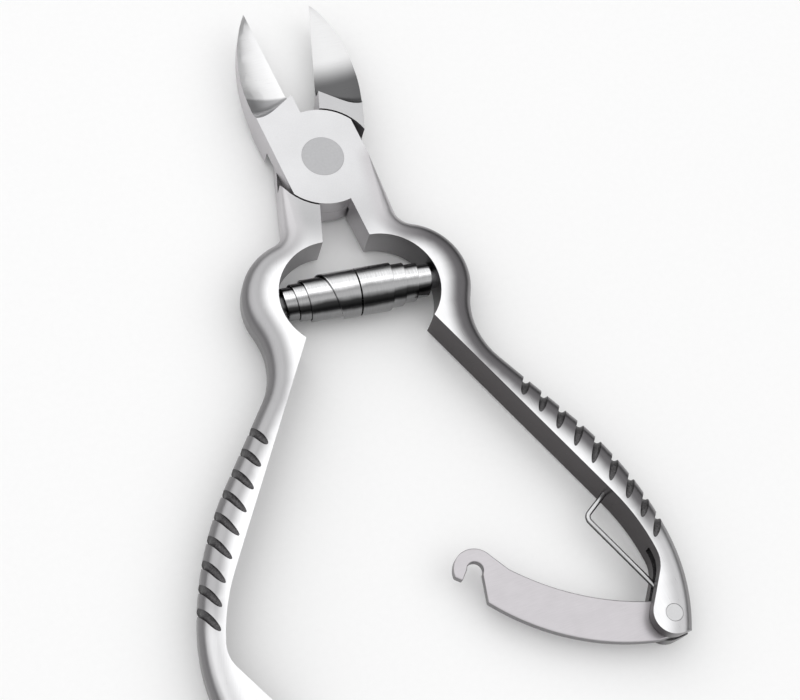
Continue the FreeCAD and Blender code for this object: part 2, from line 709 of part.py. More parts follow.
def chain(out, corners, bows):
    """Closed chain of lines and arcs, every corner and radius held by the sheet."""
    items = []
    count = len(corners)
    for index, bow in enumerate(bows):
        start = corners[index][0]
        end = corners[(index + 1) % count][0]
        if bow is None:
            items.append((out.line(start, end), 1, 2))
            continue
        centre, formula, onward = bow
        first, last = (start, end) if onward else (end, start)
        item = out.arc(centre, (first - centre).Length, direction(centre, first),
                       direction(centre, last))
        out.bend(item, (first - centre).Length, formula)
        items.append((item, 1, 2) if onward else (item, 2, 1))
    for index, (item, start, end) in enumerate(items):
        following, first, _ = items[(index + 1) % count]
        out.meet(item, end, following, first)
    for (item, start, _), (point, across, along) in zip(items, corners):
        out.place(item, start, point, across, along)
    return out.sketch


def bow_centre(start, end, radius):
    """Centre of an arc that runs anticlockwise from start to end."""
    chord = end - start
    rise = math.sqrt(radius ** 2 - (chord.Length / 2) ** 2)
    return start + chord * 0.5 + Vector(-chord.y, chord.x, 0).normalize() * rise


def latch_corner(corner, base, radius):
    """Corner on a round part of the latch, with its two formulas."""
    turn = LATCH_TURNS[corner]
    shift = "-sizes.latch_length + " if base else ""
    centre = Vector(-size("latch_length") if base else 0, 0, 0)
    across = "%ssizes.%s * cos(%s deg)" % (shift, radius, turn)
    along = "sizes.%s * sin(%s deg)" % (radius, turn)
    return centre + polar(size(radius), turn), across, along


def latch_point(corner):
    """Corner of the latch that is set by shares of its length and of its hook."""
    share, rise = LATCH_SHARES[corner]
    point = Vector(-size("latch_length") * share, size("hook_radius") * rise, 0)
    return (point, "-sizes.latch_length * %s" % share, "sizes.hook_radius * %s" % rise)


def latch_outline(body):
    """Flat latch: round heel, bowed arm, and a hook that opens away from the jaws."""
    out = Outline(body, "latch_outline")
    head = Vector(-size("latch_length"), 0, 0)
    centre = Vector(0, 0, 0)
    heel_top = latch_corner("heel_top", False, "latch_heel_radius")
    arm_top = latch_point("arm_top")
    head_top = latch_corner("head_top", True, "hook_radius")
    tip_out = latch_corner("tip_out", True, "hook_radius")
    tip_in = latch_point("tip_in")
    seat_left = latch_corner("seat_left", True, "catch_slot_radius")
    seat_right = latch_corner("seat_right", True, "catch_slot_radius")
    arm_low = latch_point("arm_low")
    heel_out = latch_point("heel_out")
    heel_low = latch_corner("heel_low", False, "latch_heel_radius")
    top_bow = size("latch_top_bow")
    low_bow = size("latch_low_bow")
    corners = (heel_top, arm_top, head_top, tip_out, tip_in, seat_left, seat_right,
               arm_low, heel_out, heel_low)
    bows = (
        (bow_centre(arm_top[0], heel_top[0], top_bow), cell("latch_top_bow"), False),
        None,
        (head, cell("hook_radius"), True),
        None,
        None,
        (head, cell("catch_slot_radius"), False),
        None,
        (bow_centre(arm_low[0], heel_out[0], low_bow), cell("latch_low_bow"), True),
        None,
        (centre, cell("latch_heel_radius"), True),
    )
    return chain(out, corners, bows)


def latch_body():
    body = doc.addObject("PartDesign::Body", "lock_latch")
    pad(body, latch_outline(body), cell("latch_thickness"), "latch_plate")
    eye = Outline(body, "latch_eye")
    radius = size("latch_pin_radius") + size("pivot_fit")
    ring = eye.circle(Vector(0, 0, 0), radius)
    eye.hold(None, "Coincident", ring, 3, -1, 1)
    eye.bend(ring, radius, "sizes.latch_pin_radius + sizes.pivot_fit")
    hole = body.newObject("PartDesign::Pocket", "latch_hole")
    hole.Profile = eye.sketch
    hole.Reversed = True
    hole.setExpression("Length", cell("latch_thickness"))
    doc.recompute()
    return body


def rivet_body():
    body = doc.addObject("PartDesign::Body", "pivot_rivet")
    turned = body.newObject("PartDesign::Revolution", "rivet_turned")
    turned.Profile = rivet_outline(body, None)
    turned.ReferenceAxis = (turned.Profile[0], ["V_Axis"])
    doc.recompute()
    return body


def half_turn(radius, shift, start, climb):
    """Half a turn of the strip: a half ring whose two edges climb as it turns."""
    width = size("strip_width")
    thick = size("strip_thickness")
    side = 2 * radius
    height = climb + width
    base = Vector(shift, 0, start)
    ring = Part.makeCylinder(radius + thick / 2, height, base, Vector(0, 0, 1), HALF_TURN)
    ring = ring.cut(Part.makeCylinder(radius - thick / 2, height, base))
    first = shift + radius - thick
    last = shift - radius + thick
    corners = (
        Vector(shift + side, 0, start),
        Vector(first, 0, start),
        Vector(last, 0, start + climb),
        Vector(shift - side, 0, start + climb),
        Vector(shift - side, 0, start + climb + width),
        Vector(last, 0, start + climb + width),
        Vector(first, 0, start + width),
        Vector(shift + side, 0, start + width),
    )
    slab = Part.Face(Part.makePolygon(list(corners) + [corners[0]]))
    return ring.common(slab.extrude(Vector(0, side, 0)))


def volute():
    """One half of the barrel spring: a flat strip wound in shrinking turns.

    It is drawn as half turns about two centres. The widest turn is ground flat
    at the seam, and a short strap under the spring joins it to the other half.
    """
    seam = size("spring_seam")
    shrink = size("turn_shrink")
    thick = size("strip_thickness")
    width = size("strip_width")
    turns = int(size("turn_count"))
    lead = (spring_end() - seam - width) / (turns - 1)
    widest = size("spring_radius") + shrink / 4
    coil = []
    for index in range(2 * turns):
        odd = index % 2
        start = seam - lead + index * lead / 2
        piece = half_turn(widest - index * shrink / 2, odd * shrink / 2, start, lead / 2)
        if odd:
            piece.rotate(Vector(0, 0, 0), Vector(0, 0, 1), HALF_TURN)
        coil.append(piece)
    coil = coil[0].fuse(coil[1:])
    block = 4 * widest
    corner = Vector(-block / 2, -block / 2, seam - block)
    coil = coil.cut(Part.makeBox(block, block, block, corner))
    base = Vector(0, 0, -width / 4)
    strap = Part.makeCylinder(widest - thick / 4, width / 2, base, Vector(0, 0, 1), SPRING_JOIN)
    strap = strap.cut(Part.makeCylinder(widest - thick, width / 2, base))
    strap.rotate(Vector(0, 0, 0), Vector(0, 0, 1), HALF_TURN - SPRING_JOIN / 2)
    for piece in (coil, strap):
        piece.rotate(Vector(0, 0, 0), Vector(0, 0, 1), HALF_TURN)
        piece.rotate(Vector(0, 0, 0), Vector(0, 1, 0), FLAT_TURN)
    return coil, strap


def spring_shape():
    """Both halves of the strip and the strap that makes them one."""
    right, strap = volute()
    left = right.copy()
    left.rotate(Vector(0, 0, 0), Vector(0, 0, 1), HALF_TURN)
    return right.fuse([left, strap]).removeSplitter()


def spring_end():
    """Half the length of the spring, between the open pockets."""
    open_turn = Rotation(Vector(0, 0, 1), size("open_half_angle"))
    centre = open_turn.multVec(Vector(size("pocket_x"), size("pocket_y"), 0))
    rim = size("spring_radius") - size("turn_shrink") * (size("turn_count") - 1)
    high = abs(size("spring_axis_y") - centre.y) + rim
    wall = centre.x + math.sqrt(size("pocket_radius") ** 2 - high ** 2)
    return wall - size("spring_seat_gap")


def place_on(item, lever_place, point, turn=0.0, height=0.0):
    """Set an item on a lever: at a point of the closed lever, turned with it."""
    spot = lever_place.multVec(Vector(point.x, point.y, 0))
    item.Placement = Placement(Vector(spot.x, spot.y, height), Rotation(Vector(0, 0, 1), turn))


half = size("open_half_angle")
top = size("thickness")
front_place = Placement(Vector(0, 0, 0), Rotation(Vector(0, 0, 1), half))
flip = Placement(Vector(0, 0, top), Rotation(Vector(0, 1, 0), HALF_TURN))
rear_place = Placement(Vector(0, 0, 0), Rotation(Vector(0, 0, 1), -half)).multiply(flip)
knuckle = Vector(size("knuckle_x"), size("knuckle_y"), 0)
catch = Vector(size("catch_x"), size("catch_y"), 0)

face = grinding()
ground = solid("jaw_grinding", face.fuse(face.mirror(Vector(0, 0, top / 2), Vector(0, 0, 1))))
grooves = solid("grip_grooves", groove_tools())
neck = solid("neck_corners", neck_rounding())
wire_hole = solid("wire_hole", wire_shape(size("wire_radius") + size("seat_fit")),
                  Placement(Vector(0, 0, top / 2), Rotation()))

front_blank = lever_blank("front_lever", "knuckle_x", "knuckle_y", "knuckle_radius", "seat_fit")
rear_blank = lever_blank("rear_lever", "catch_x", "catch_y", "catch_end_radius", "pivot_fit")

front = cut_all(front_blank, "front", (
    neck, ground, grooves,
    slot_box("latch_slot", "sizes.slot_floor", "sizes.slot_start"),
    slot_box("latch_slot_end", "sizes.grip_x * 2", "sizes.slot_through"),
    bore("latch_pin_hole", "sizes.latch_pin_radius + sizes.seat_fit",
         "sizes.knuckle_x", "sizes.knuckle_y"),
    wire_hole,
))
rear = cut_all(rear_blank, "rear", (
    neck, ground, grooves,
    slot_box("catch_slot", "sizes.catch_slot_floor", "sizes.catch_slot_start"),
    slot_box("catch_slot_end", "sizes.grip_x * 2", "sizes.catch_slot_through"),
    bore("catch_pin_hole", "sizes.catch_pin_radius + sizes.seat_fit",
         "sizes.catch_x", "sizes.catch_y"),
))
front.Placement = front_place
rear.Placement = rear_place
doc.recompute()


def stud(name, sign, extra=0.0):
    """Stud that stands in the pocket wall and reaches into the end of the spring."""
    wall = sign * (spring_end() + size("spring_seat_gap"))
    inner = wall - sign * size("stud_reach")
    outer = wall + sign * (size("stud_root") + extra)
    base = Vector(inner, size("spring_axis_y"), top / 2)
    heading = Vector(outer - inner, 0, 0)
    return solid(name, Part.makeCylinder(size("stud_radius") + extra, heading.Length, base, heading))


stud_front = stud("spring_stud_front", 1)
stud_rear = stud("spring_stud_rear", -1)
front_lever = cut(front, stud("stud_hole_front", 1, size("seat_fit")), "front_lever")
rear_lever = cut(rear, stud("stud_hole_rear", -1, size("seat_fit")), "rear_lever")

rivet = rivet_body()
latch = latch_body()
place_on(latch, front_place, knuckle, -size("latch_rest_turn"),
         (top - size("latch_thickness")) / 2)

latch_pin = doc.addObject("Part::Cylinder", "latch_pin")
bind(latch_pin, Radius=cell("latch_pin_radius"), Height=cell("thickness"))
place_on(latch_pin, front_place, knuckle)
catch_pin = doc.addObject("Part::Cylinder", "catch_pin")
bind(catch_pin, Radius=cell("catch_pin_radius"), Height=cell("thickness"))
place_on(catch_pin, rear_place, catch)
wire = solid("latch_spring", wire_shape(size("wire_radius")),
             Placement(Vector(0, 0, top / 2), Rotation()))
wire.Placement = front_place.multiply(wire.Placement)

axis_place = Placement(Vector(0, size("spring_axis_y"), top / 2), Rotation())
spring = solid("barrel_spring", spring_shape(), axis_place)
doc.recompute()

NODES = (
    ("front_lever", front_lever), ("rear_lever", rear_lever), ("pivot_rivet", rivet),
    ("barrel_spring", spring), ("spring_stud_front", stud_front),
    ("spring_stud_rear", stud_rear), ("lock_latch", latch), ("latch_pin", latch_pin),
    ("latch_spring", wire), ("catch_pin", catch_pin),
)
for item in doc.Objects:
    if "Invalid" in item.State or "Error" in item.State:
        raise RuntimeError(item.Name + " failed: " + str(item.State))
for name, item in NODES:
    item.Label = name
    shape = item.Shape
    if shape.isNull() or not shape.isValid():
        raise RuntimeError(name + " has no valid shape")
    shape.exportStep("parts/%s.step" % name)
    box = shape.BoundBox
    print("%-18s solids %d volume %.1f  x %.1f..%.1f y %.1f..%.1f z %.1f..%.1f" % (
        name, len(shape.Solids), shape.Volume, box.XMin, box.XMax, box.YMin, box.YMax,
        box.ZMin, box.ZMax))
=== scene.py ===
"""Nail nipper: skins, turned pieces, finishes and studio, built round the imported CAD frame."""

import json
import math
from collections import namedtuple

import bmesh
import bpy
from bpy.props import FloatProperty, FloatVectorProperty, IntProperty, PointerProperty
from mathutils import Matrix, Vector
from mathutils.kdtree import KDTree


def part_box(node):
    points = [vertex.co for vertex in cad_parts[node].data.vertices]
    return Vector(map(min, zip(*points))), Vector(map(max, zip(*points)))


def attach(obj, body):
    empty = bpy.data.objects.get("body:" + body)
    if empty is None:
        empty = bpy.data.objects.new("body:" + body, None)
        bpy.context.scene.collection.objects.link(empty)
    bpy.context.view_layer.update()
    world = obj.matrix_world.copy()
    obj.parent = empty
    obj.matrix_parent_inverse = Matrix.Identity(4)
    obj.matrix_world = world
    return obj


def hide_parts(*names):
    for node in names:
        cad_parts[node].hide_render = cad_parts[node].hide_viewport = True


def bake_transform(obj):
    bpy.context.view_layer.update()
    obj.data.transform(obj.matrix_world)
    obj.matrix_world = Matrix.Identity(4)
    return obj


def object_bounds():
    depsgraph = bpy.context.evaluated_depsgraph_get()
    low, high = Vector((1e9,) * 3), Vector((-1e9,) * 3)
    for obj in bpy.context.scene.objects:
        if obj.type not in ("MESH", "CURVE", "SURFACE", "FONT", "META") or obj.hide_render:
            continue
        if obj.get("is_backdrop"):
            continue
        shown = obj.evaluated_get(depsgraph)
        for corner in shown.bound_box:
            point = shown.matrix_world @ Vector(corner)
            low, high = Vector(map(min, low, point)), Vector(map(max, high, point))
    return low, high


bl_info = {
    "name": "Nail Nipper",
    "version": (1, 0, 0),
    "blender": (4, 5, 0),
    "location": "View3D > Sidebar > Nipper",
    "description": "Builds the steel pieces, finishes and studio of a nail nipper",
    "category": "Object",
}

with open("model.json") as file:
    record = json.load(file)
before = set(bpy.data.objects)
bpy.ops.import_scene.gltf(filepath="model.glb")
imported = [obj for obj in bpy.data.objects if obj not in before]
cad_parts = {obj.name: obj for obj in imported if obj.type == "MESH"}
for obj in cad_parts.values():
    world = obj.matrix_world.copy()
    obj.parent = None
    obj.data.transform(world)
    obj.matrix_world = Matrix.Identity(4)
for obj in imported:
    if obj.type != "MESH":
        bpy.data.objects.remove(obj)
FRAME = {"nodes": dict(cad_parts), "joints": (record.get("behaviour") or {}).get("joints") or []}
CAD_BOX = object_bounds()
FRONT, REAR, LATCH = "front", "rear", "latch"
MM = 0.001


def middle(node):
    """Middle of a CAD node's box at rest."""
    low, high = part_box(node)
    return (low + high) / 2


def largest_angle(name):
    """Largest angle of a joint, in radians."""
    found = next(item for item in FRAME["joints"] if item["name"] == name)
    return math.radians(found["range_deg"][1])


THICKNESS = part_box("front_lever")[1].z
OPEN_HALF = largest_angle("lever_pivot") / 2
UP = Vector((0, 0, 1))
SIDEWAYS = Vector((1, 0, 0))


# Sizes and colours


def length(name, default, about):
    return FloatProperty(name=name, description=about, default=default, min=0.0,
                         subtype="DISTANCE", unit="LENGTH", precision=5)


def colour(name, default, about):
    return FloatVectorProperty(name=name, description=about, default=default, min=0.0, max=1.0,
                               size=3, subtype="COLOR")


def share(name, default, about):
    return FloatProperty(name=name, description=about, default=default, min=0.0, max=1.0,
                         subtype="FACTOR")


class NipperSizes(bpy.types.PropertyGroup):
    """Sizes of what is finished by hand."""

    edge: length("Broken edge", 0.10 * MM, "Width of the broken edges of levers and latch")
    chamfer: length("Chamfer", 0.14 * MM, "Chamfer at the ends of rivet, pins and studs")
    rivet_head: length("Rivet head", 1.1 * MM, "Depth of each countersunk rivet head")
    rivet_shank: length("Rivet shank", 3.0 * MM, "Radius of the rivet between its heads")
    strip_width: length("Strip width", 7.6 * MM, "Width of the spring's strip")
    strip_thickness: length("Strip thickness", 0.36 * MM, "Thickness of the spring's strip")
    strip_round: length("Strip edge", 0.10 * MM, "Rounding of the strip's edges")
    turn_step: length("Turn step", 0.46 * MM, "How much smaller each turn is")
    seam: length("Seam", 0.12 * MM, "Half the gap between the two widest turns")
    left_extra: length("Left extra", 1.0 * MM, "How much wider the strip of the left half is")
    left_slant: length("Left slant", 4.8 * MM, "How much narrower the left half's strip starts")
    turns: IntProperty(name="Turns", description="Turns of each half of the spring", default=4,
                       min=2, max=8)
    wire: length("Wire", 0.5 * MM, "Radius of the latch spring's wire")
    wire_bend: length("Wire bend", 1.3 * MM, "Radius of the latch spring's corner")


class NipperFinish(bpy.types.PropertyGroup):
    """Colours and sheens of the steel, with the colours of its painted shade and painted
    reflections.
    """

    bright: colour("Bright steel", (0.84, 0.84, 0.85), "Flat faces of the grips")
    plate: colour("Plate steel", (0.66, 0.66, 0.67), "Blasted faces of the joint")
    # The side, shoulder and inner colours are painted shade: the levers' sides, the grips' outer
    # shoulders and their inner sides, darkened by which way they face
    side: colour("Side steel", (0.21, 0.205, 0.21), "Rounded and inner sides of the levers")
    shoulder: colour("Shoulder", (0.10, 0.095, 0.10), "Outer shoulders of the grips")
    inner: colour("Inner side", (0.065, 0.058, 0.06), "Inner sides of the grips")
    ground: colour("Ground steel", (0.96, 0.96, 0.965), "Ground faces of the jaws")
    # Painted dark reflection over the run-out, where the grinding starts
    run_out_shade: colour("Run-out", (0.27, 0.27, 0.275), "Start of the grinding")
    # Painted shade for the bottoms of grooves, slots, holes and the lap
    recess_shade: colour("Recess", (0.035, 0.033, 0.034), "Bottoms of grooves, slots and holes")
    rivet: colour("Rivet", (0.46, 0.46, 0.47), "Pivot rivet and pins")
    spring: colour("Spring", (0.86, 0.86, 0.87), "Polished strip of the barrel spring")
    latch: colour("Latch", (0.56, 0.54, 0.56), "Latch plate")
    satin: share("Satin", 0.30, "Roughness of the levers and latch")
    polish: share("Polish", 0.12, "Roughness of the spring and wire")


class NipperStudio(bpy.types.PropertyGroup):
    """Floor, light and lens."""

    floor: colour("Floor", (0.92, 0.92, 0.92), "Paper under the nipper")
    sky: FloatProperty(name="Ceiling", description="Strength of the white ceiling", default=0.98,
                       min=0.0)
    wall: FloatProperty(name="Bright wall", description="Strength of the wall on the left",
                        default=0.62, min=0.0)
    dim_wall: FloatProperty(name="Dim wall", description="Strength of the wall on the right",
                            default=0.10, min=0.0)
    key: FloatProperty(name="Key light", description="Power of the key light", default=2.4,
                       min=0.0, unit="POWER")
    fill: FloatProperty(name="Fill light", description="Power of the fill light", default=0.8,
                        min=0.0, unit="POWER")
    lens: FloatProperty(name="Lens", description="Focal length in millimetres", default=91.59,
                        min=1.0)


# Shader maths


class Value:
    """A socket that can be used in a formula."""

    def __init__(self, nodes, socket):
        self.nodes = nodes
        self.socket = socket

    def out(self, name):
        """Another output of the same node."""
        return Value(self.nodes, self.socket.node.outputs[name])

    def join(self, operation, *parts):
        return self.nodes.node("ShaderNodeMath", {"operation": operation}, dict(enumerate(parts)))

    def __add__(self, other):
        return self.join("ADD", self, other)

    def __radd__(self, other):
        return self.join("ADD", other, self)

    def __sub__(self, other):
        return self.join("SUBTRACT", self, other)

    def __rsub__(self, other):
        return self.join("SUBTRACT", other, self)

    def __mul__(self, other):
        return self.join("MULTIPLY", self, other)

    def __rmul__(self, other):
        return self.join("MULTIPLY", other, self)

    def __abs__(self):
        return self.join("ABSOLUTE", self)

    def angle_from(self, ahead):
        """Angle from straight ahead, in radians, where this value is the part to the side."""
        return self.join("ARCTAN2", self, ahead)


class Nodes:
    """A node tree, written as formulas."""

    def __init__(self, owner):
        owner.use_nodes = True
        self.tree = owner.node_tree
        self.tree.nodes.clear()

    def node(self, kind, settings=None, sockets=None, out=0):
        """Any node: its settings first, then the values or links of its sockets."""
        made = self.tree.nodes.new(kind)
        for key, value in (settings or {}).items():
            setattr(made, key, value)
        for key, value in (sockets or {}).items():
            self.put(made.inputs[key], value)
        return Value(self, made.outputs[out]) if made.outputs else None

    def put(self, socket, value):
        if isinstance(value, Value):
            self.tree.links.new(value.socket, socket)
        else:
            socket.default_value = value

    def split(self, vector):
        """The three parts of a vector."""
        parts = self.node("ShaderNodeSeparateXYZ", sockets={0: vector})
        return parts, parts.out("Y"), parts.out("Z")

    def pack(self, *parts):
        """A vector or grey colour of three parts."""
        return self.node("ShaderNodeCombineXYZ", sockets=dict(enumerate(parts)))

    def vector(self, operation, *parts, out="Vector", **sockets):
        """Vector maths on its parts, with any other socket by name."""
        return self.node("ShaderNodeVectorMath", {"operation": operation},
                         {**dict(enumerate(parts)), **sockets}, out)

    def step(self, value, low, high, first=0.0, last=1.0):
        """Soft step of a value from one level to another."""
        return self.node("ShaderNodeMapRange", {"interpolation_type": "SMOOTHSTEP"},
                         {0: value, 1: low, 2: high, 3: first, 4: last})


class Steel(Nodes):
    """A material with one shader."""

    def __init__(self, name, metallic=1.0):
        self.material = bpy.data.materials.new(name)
        super().__init__(self.material)
        surface = self.node("ShaderNodeBsdfPrincipled", sockets={"Metallic": metallic})
        self.shader = surface.socket.node
        self.node("ShaderNodeOutputMaterial", sockets={"Surface": surface})

    def feed(self, **sockets):
        """Set or link the shader's own sockets; an underscore stands for a space."""
        for key, value in sockets.items():
            self.put(self.shader.inputs[key.replace("_", " ")], value)

    def place(self):
        """Place on the piece, in millimetres."""
        return self.vector("SCALE", self.node("ShaderNodeTexCoord", out="Object"), Scale=1 / MM)

    def turned_place(self, turn):
        """The three parts of the place, along axes turned in the floor's plane."""
        x, y, z = self.split(self.place())
        return (x * math.cos(turn) + y * math.sin(turn),
                y * math.cos(turn) - x * math.sin(turn), z)

    def facing(self):
        """Which way the surface faces, on the piece."""
        return self.split(self.node("ShaderNodeTexCoord", out="Normal"))

    def noise(self, vector, scale, detail=3.0):
        """Soft spots, as many for each millimetre as the scale says."""
        return self.node("ShaderNodeTexNoise",
                         sockets={"Vector": vector, "Scale": scale, "Detail": detail})

    def lines(self, parts, density, detail=3.0):
        """Fine lines: spots drawn out where their density is low."""
        drawn = (part * count for part, count in zip(parts, density))
        return self.noise(self.pack(*drawn), 1.0, detail)

    def tint(self, share_of_last, first, last):
        """Colour between two colours."""
        ends = {0: share_of_last}
        for index, end in ((6, first), (7, last)):
            ends[index] = end if isinstance(end, Value) else (*end, 1.0)
        return self.node("ShaderNodeMix", {"data_type": "RGBA"}, ends, out=2)

    def shade(self, tone, amount):
        """A colour made lighter or darker by an amount round 1."""
        return self.node("ShaderNodeMix", {"data_type": "RGBA", "blend_type": "MULTIPLY"},
                         {0: 1.0, 6: tone, 7: self.pack(amount, amount, amount)}, out=2)

    def relief(self, height, depth):
        """Fine relief, with its depth in millimetres."""
        self.feed(Normal=self.node("ShaderNodeBump", sockets={"Height": height,
                                                              "Distance": depth * MM}))


# Finishes

RIM = "rim_distance"

# Lines for each millimetre along x, y and z; a low number draws them out
GRIP_LINES = (9.0, 0.35, 9.0)
GRINDING_LINES = (0.3, 9.0, 0.3)
RING_LINES = (7.0,)
ROLLING_LINES = (8.0, 0.25, 0.25)
LATCH_LINES = (0.4, 7.0, 7.0)
DRAWN_LINES = (5.0, 1.2, 9.0)

# Where one look gives way to the next along a lever, in millimetres ahead of the pivot
TAIL = (-92.0, -84.0)
INNER_SIDE = (-32.0, -38.0)
JOINT = (-23.0, -13.0)
NECK = (-15.0, -3.0)
# Where the painted dark reflection on the jaw gives way to its bright ground face
BRIGHT_GRINDING = (15.3, 16.1)

# The grinding starts at the run-out, painted dark as a reflection, with a painted highlight at its
# root; it slants to the sides. The bright part slants less, waves by a part of a millimetre, and
# starts earlier where the painted dark band is spread.
RUN_OUT = 14.0
RUN_OUT_SLANT = math.tan(math.radians(23.0))
ROOT = (0.2, 3.0)
ROOT_GLOW = 1.4
BRIGHT_SLANT = 0.15
BRIGHT_WAVE = 0.4
FADE_START = 0.2

# How far a face is turned up or inwards where its painted light and shade change, 0 to 1
LEVER_TOP = (0.62, 0.995)
LEVER_INSIDE = (0.3, 0.8)
LATCH_TOP = (0.1, 0.7)
WIRE_TOP = (0.30, 0.95)

# Shades of the named colours, where 1 leaves them as they are
# Painted shadow beside the lap plate: the joint plate is darker towards the neck
NECK_SHADE = 0.84
# Painted shade of the sides and shoulders at the joint, lighter than on the grips
JOINT_SIDE_SHADE = 2.6
PIN_SHADE = 0.74
STUD_SHADE = 0.4
SPOT_SHADE = 0.86
# Painted shade on the wire's sides and underside
WIRE_SHADE = 0.05
TAIL_SHADE_CUT = 0.5                 # how much of the painted shoulder shade is left off at the tail

# One lever's painted light and shade: how far in its painted shoulder shade reaches and how bright
# it starts, as shares, the shade of its blasted plate, how far the painted dark reflection on its
# jaw spreads in millimetres, and the shades of the jaw's painted dark reflection and of its bright
# part, darker on the rear lever as painted shade
LeverLook = namedtuple("LeverLook", "crown_reach crown_start blasting fade dark light")
FRONT_LOOK = LeverLook(1.0, 0.04, 1.0, fade=0.0, dark=1.7, light=1.0)
REAR_LOOK = LeverLook(0.75, 0.35, 0.78, fade=6.8, dark=0.40, light=0.66)


def times(tone, amount):
    """A plain colour made lighter or darker."""
    return tuple(part * amount for part in tone)


def lever_finish(name, turn, look, finish):
    """Bright flat faces with fine lines along the grip, painted shade on the sides, shoulders and
    inner sides, and a blasted joint.
    """
    steel = Steel(name)
    place = steel.turned_place(turn)
    along = place[1]
    facing_x, facing_y, facing_z = steel.facing()
    other_lever = math.copysign(1.0, -turn)
    inward = (facing_x * math.cos(turn) + facing_y * math.sin(turn)) * other_lever
    joint_part = steel.step(along, *JOINT)
    lines = steel.lines(place, GRIP_LINES, 4.0)
    spot = steel.pack(*place)
    cloud = steel.noise(spot, 0.16)
    blast = steel.noise(spot, 5.5)
    grain = steel.node("ShaderNodeMix", sockets={0: joint_part, 2: lines, 3: blast})

    # Painted shade on the flats near their rounded shoulders, with less of it at the tail
    rim = steel.node("ShaderNodeAttribute", {"attribute_name": RIM}, out="Fac")
    painted_light = steel.step(rim, 0.0, look.crown_reach, look.crown_start, 1.0)
    painted_light = 1 - (1 - painted_light) * (1 - steel.step(along, *TAIL, TAIL_SHADE_CUT, 0.0))
    # Sides and shoulders take painted shade, lighter at the joint
    joint_side_shade = times(finish.side, JOINT_SIDE_SHADE)
    plate = times(finish.plate, look.blasting)
    # Painted shadow towards the neck, beside the lap plate
    plate = steel.tint(steel.step(along, *NECK), times(plate, NECK_SHADE), plate)
    top = steel.tint(painted_light, steel.tint(joint_part, finish.shoulder, joint_side_shade),
                     steel.tint(joint_part, finish.bright, plate))
    # Painted shade on the inner sides of the grips, towards their tails
    inside = steel.step(inward, *LEVER_INSIDE) * steel.step(along, *INNER_SIDE)
    side = steel.tint(inside, steel.tint(joint_part, finish.side, joint_side_shade), finish.inner)
    # Faces turned to the side take the painted shade, level faces the top colours
    tone = steel.tint(steel.step(abs(facing_z), *LEVER_TOP), side, top)
    steel.feed(
        Base_Color=steel.shade(tone, 0.86 + grain * 0.16 + cloud * 0.12),
        Roughness=finish.satin - 0.06 + grain * 0.12 + joint_part * 0.07,
    )
    steel.relief(grain, 0.006)
    return steel.material


def jaw_finish(name, turn, look, finish):
    """Ground face: painted dark reflection where the wheel ran out, with a painted highlight at
    its root, brighter to the tip, with grinding lines.
    """
    steel = Steel(name)
    place = steel.turned_place(turn)
    across, along = abs(place[0]), place[1]
    lines = steel.lines(place, GRINDING_LINES)
    cloud = steel.noise(steel.pack(*place), 0.2, 2.0)
    first, last = BRIGHT_GRINDING
    bright = steel.step(along - across * BRIGHT_SLANT + cloud * BRIGHT_WAVE,
                        first + look.fade * FADE_START, last + look.fade)
    # Painted highlight at the root of the run-out
    root = steel.step(along - RUN_OUT + across * RUN_OUT_SLANT, *ROOT, ROOT_GLOW, 1.0)
    # Painted dark reflection giving way to the bright ground face
    tone = steel.tint(bright, times(finish.run_out_shade, look.dark), times(finish.ground, look.light))
    steel.feed(
        Base_Color=steel.shade(tone, root * (0.93 + lines * 0.12)),
        Roughness=0.24 + lines * 0.12,
    )
    steel.relief(lines, 0.004)
    return steel.material


def recess_shade_finish(finish):
    """Painted shade on the bottoms of grooves, slots and holes and on the lap's floor."""
    steel = Steel("painted_shade_recess")
    spots = steel.noise(steel.place(), 3.0, 4.0)
    steel.feed(
        Base_Color=steel.shade(steel.tint(spots, finish.recess_shade, finish.side), 0.55 + spots * 0.5),
        Roughness=0.38 + spots * 0.25,
    )
    steel.relief(spots, 0.02)
    return steel.material


def turned_finish(name, centre, axis, tone, rough):
    """Turned end of a rivet or pin: fine rings round its own axis."""
    steel = Steel(name)
    place = steel.place()
    spoke = steel.vector("SUBTRACT", place, tuple(part / MM for part in centre))
    spoke = steel.vector("MULTIPLY", spoke, tuple(1.0 - abs(part) for part in axis))
    rings = steel.lines([steel.vector("LENGTH", spoke, out="Value")], RING_LINES)
    spots = steel.noise(place, 2.4)
    steel.feed(
        Base_Color=steel.shade(steel.tint(spots, tone, times(tone, SPOT_SHADE)),
                               0.92 + rings * 0.16),
        Roughness=rough + rings * 0.10,
    )
    steel.relief(rings, 0.006)
    return steel.material


# Painted reflections of the spring, as bands: where each change starts and ends, in degrees from
# its top towards the grips' ends, and how much brighter the strip grows there
SPRING_START = 0.30
SPRING_BANDS = ((-84, -72, -0.20), (-60, -54, 0.45), (-46, -40, -0.20), (-34, -26, 0.65),
                (2, 14, -0.62), (26, 40, -0.34), (58, 70, 0.24))
BAND_WAVE = 0.16


def spring_finish(finish):
    """Polished strip: painted reflections as bright and dark bands along it, fine rolling lines
    round each turn.
    """
    steel = Steel("polished_spring")
    place = steel.place()
    lines = steel.lines(steel.split(place), ROLLING_LINES)
    cloud = steel.noise(place, 0.35, 2.0)
    _, facing_y, facing_z = steel.facing()
    # Painted reflections: bands set by which way the strip faces round its axis
    round_it = (0 - facing_y).angle_from(facing_z)
    round_it = round_it + cloud * BAND_WAVE - BAND_WAVE / 2
    painted_reflection = SPRING_START
    for low, high, change in SPRING_BANDS:
        painted_reflection = painted_reflection + steel.step(round_it, math.radians(low), math.radians(high), 0.0, change)
    steel.feed(
        Base_Color=steel.shade((*finish.spring, 1.0), painted_reflection * (0.78 + lines * 0.42)),
        Roughness=finish.polish - 0.04 + lines * 0.12,
    )
    steel.relief(lines, 0.004)
    return steel.material


